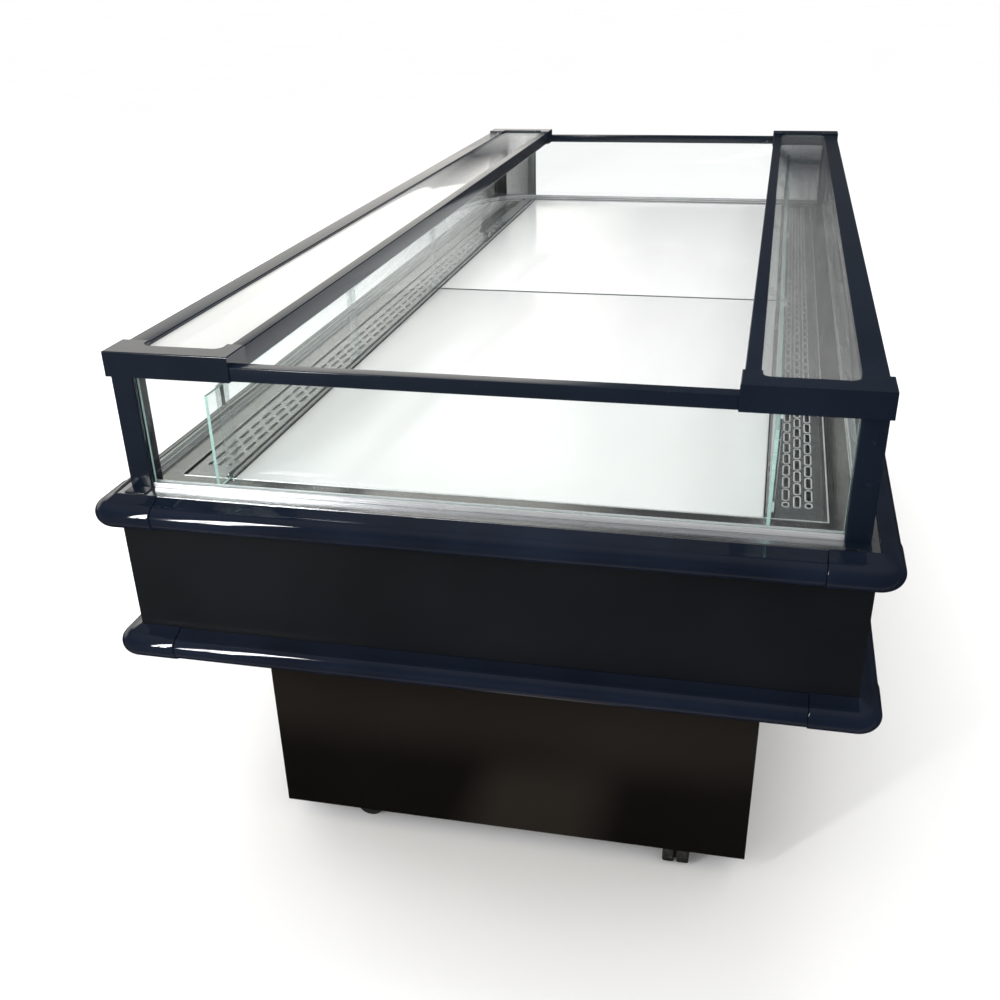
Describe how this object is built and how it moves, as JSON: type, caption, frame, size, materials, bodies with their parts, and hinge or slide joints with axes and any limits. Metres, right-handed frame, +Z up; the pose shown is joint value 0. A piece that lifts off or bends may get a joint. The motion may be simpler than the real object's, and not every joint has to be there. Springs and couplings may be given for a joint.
{
  "type": "island display freezer",
  "caption": "Open-top island display freezer with framed glass sides, bumper rails, lift-out deck and grilles, on a recessed castor base.",
  "frame": {"origin": "on the floor at the centre of the cabinet's bounding box", "axes": "+Z up; Y along the tub, near end at -Y; X across the tub"},
  "size_m": [1.1308, 2.5088, 0.92],
  "materials": {
    "navy_paint": "gloss navy black powder coat",
    "bumper_plastic": "high gloss extruded bumper",
    "tub_paint": "satin fine-grained black powder coat",
    "skirt_paint": "semi-gloss black powder coat",
    "clear_glass": "clear float glass, green at its edges",
    "clear_acrylic": "clear polished acrylic",
    "ledge_steel": "brushed stainless ledge with dimpled side strips",
    "band_steel": "bright brushed stainless",
    "deck_white": "gloss white enamel",
    "grille_steel": "pressed satin stainless",
    "liner_white": "white coated sheet",
    "foam": "rigid foam with coated skins",
    "frame_steel": "black painted steel",
    "zinc_steel": "zinc plated steel",
    "castor_nylon": "black moulded nylon",
    "castor_rubber": "dark grey treaded wheels",
    "coil_aluminium": "thin aluminium fins",
    "fan_plastic": "black moulded plastic",
    "drain_plastic": "grey white plastic pipe",
    "compressor_paint": "black enamel",
    "control_plastic": "black moulded bezel",
    "button_plastic": "grey keys"
  },
  "bodies": {
    "cabinet": {"base_frame": "frame_steel", "bumper_corners": "bumper_plastic", "bumper_rails": "bumper_plastic", "canopy_glass_left": "clear_glass", "canopy_glass_right": "clear_glass", "castor_plates": "zinc_steel", "compressor": "compressor_paint", "condenser": "coil_aluminium", "condenser_shroud": "zinc_steel", "controller": "control_plastic", "corner_caps": "navy_paint", "corner_posts": "navy_paint", "deck_frame": "band_steel", "drain_pipe": "drain_plastic", "drip_tray": "zinc_steel", "end_glass": "clear_glass", "end_rails": "navy_paint", "evaporator_coil": "coil_aluminium", "fan_plate": "zinc_steel", "glass_brackets": "clear_acrylic", "glazing_channels": "band_steel", "inner_band": "band_steel", "inner_rails": "navy_paint", "liner": "liner_white", "outer_rails": "navy_paint", "power_inlet": "control_plastic", "rim_ledge": "ledge_steel", "riser_glass_left": "clear_glass", "riser_glass_right": "clear_glass", "screws": "zinc_steel", "side_glass_left": "clear_glass", "side_glass_right": "clear_glass", "skirt_far": "skirt_paint", "skirt_left": "skirt_paint", "skirt_near": "skirt_paint", "skirt_right": "skirt_paint", "tub_body": "foam", "tub_panel_far": "tub_paint", "tub_panel_left": "tub_paint", "tub_panel_near": "tub_paint", "tub_panel_right": "tub_paint"},
    "castor_near_left": {"castor_fork_near_left": "castor_nylon"},
    "castor_wheels_near_left": {"castor_wheels_near_left": "castor_rubber"},
    "castor_near_right": {"castor_fork_near_right": "castor_nylon"},
    "castor_wheels_near_right": {"castor_wheels_near_right": "castor_rubber"},
    "castor_far_left": {"castor_fork_far_left": "castor_nylon"},
    "castor_wheels_far_left": {"castor_wheels_far_left": "castor_rubber"},
    "castor_far_right": {"castor_fork_far_right": "castor_nylon"},
    "castor_wheels_far_right": {"castor_wheels_far_right": "castor_rubber"},
    "deck_near": {"deck_near": "deck_white"},
    "deck_far": {"deck_far": "deck_white"},
    "grille_left": {"grille_left": "grille_steel"},
    "grille_right": {"grille_right": "grille_steel"},
    "service_panel": {"service_panel": "skirt_paint"},
    "evaporator_fan_near": {"evaporator_fan_near": "fan_plastic"},
    "evaporator_fan_far": {"evaporator_fan_far": "fan_plastic"},
    "condenser_fan": {"condenser_fan": "fan_plastic"},
    "button_down": {"button_down": "button_plastic"},
    "button_up": {"button_up": "button_plastic"},
    "button_power": {"button_power": "button_plastic"}
  },
  "joints": [
    {"name": "castor_swivel_near_left", "type": "hinge", "parent": "cabinet", "child": "castor_near_left", "pos_m": [-0.295, -0.99804, 0.06], "axis": [0, 0, 1], "continuous": true},
    {"name": "castor_roll_near_left", "type": "hinge", "parent": "castor_near_left", "child": "castor_wheels_near_left", "pos_m": [-0.267, -0.99804, 0.025], "axis": [0, 1, 0], "continuous": true},
    {"name": "castor_swivel_near_right", "type": "hinge", "parent": "cabinet", "child": "castor_near_right", "pos_m": [0.295, -0.99804, 0.06], "axis": [0, 0, 1], "continuous": true},
    {"name": "castor_roll_near_right", "type": "hinge", "parent": "castor_near_right", "child": "castor_wheels_near_right", "pos_m": [0.295, -1.02604, 0.025], "axis": [1, 0, 0], "continuous": true},
    {"name": "castor_swivel_far_left", "type": "hinge", "parent": "cabinet", "child": "castor_far_left", "pos_m": [-0.295, 0.99804, 0.06], "axis": [0, 0, 1], "continuous": true},
    {"name": "castor_roll_far_left", "type": "hinge", "parent": "castor_far_left", "child": "castor_wheels_far_left", "pos_m": [-0.295, 1.02604, 0.025], "axis": [-1, 0, 0], "continuous": true},
    {"name": "castor_swivel_far_right", "type": "hinge", "parent": "cabinet", "child": "castor_far_right", "pos_m": [0.295, 0.99804, 0.06], "axis": [0, 0, 1], "continuous": true},
    {"name": "castor_roll_far_right", "type": "hinge", "parent": "castor_far_right", "child": "castor_wheels_far_right", "pos_m": [0.267, 0.99804, 0.025], "axis": [0, -1, 0], "continuous": true},
    {"name": "deck_near_lift", "type": "slide", "parent": "cabinet", "child": "deck_near", "axis": [0, 0, 1], "range_m": [0, 0.12]},
    {"name": "deck_far_lift", "type": "slide", "parent": "cabinet", "child": "deck_far", "axis": [0, 0, 1], "range_m": [0, 0.12]},
    {"name": "grille_left_lift", "type": "slide", "parent": "cabinet", "child": "grille_left", "axis": [0, 0, 1], "range_m": [0, 0.1]},
    {"name": "grille_right_lift", "type": "slide", "parent": "cabinet", "child": "grille_right", "axis": [0, 0, 1], "range_m": [0, 0.1]},
    {"name": "service_panel_pull", "type": "slide", "parent": "cabinet", "child": "service_panel", "axis": [1, 0, 0], "range_m": [0, 0.15]},
    {"name": "evaporator_fan_near_spin", "type": "hinge", "parent": "cabinet", "child": "evaporator_fan_near", "pos_m": [-0.215, -0.48, 0.59305], "axis": [1, 0, 0], "continuous": true},
    {"name": "evaporator_fan_far_spin", "type": "hinge", "parent": "cabinet", "child": "evaporator_fan_far", "pos_m": [-0.215, 0.48, 0.59305], "axis": [1, 0, 0], "continuous": true},
    {"name": "condenser_fan_spin", "type": "hinge", "parent": "cabinet", "child": "condenser_fan", "pos_m": [0.2325, 0.72, 0.2205], "axis": [1, 0, 0], "continuous": true},
    {"name": "button_down_press", "type": "slide", "parent": "cabinet", "child": "button_down", "axis": [0, -1, 0], "range_m": [0, 0.0012], "stiffness_N_per_m": 400, "springref_m": -0.0005},
    {"name": "button_up_press", "type": "slide", "parent": "cabinet", "child": "button_up", "axis": [0, -1, 0], "range_m": [0, 0.0012], "stiffness_N_per_m": 400, "springref_m": -0.0005},
    {"name": "button_power_press", "type": "slide", "parent": "cabinet", "child": "button_power", "axis": [0, -1, 0], "range_m": [0, 0.0012], "stiffness_N_per_m": 400, "springref_m": -0.0005}
  ]
}
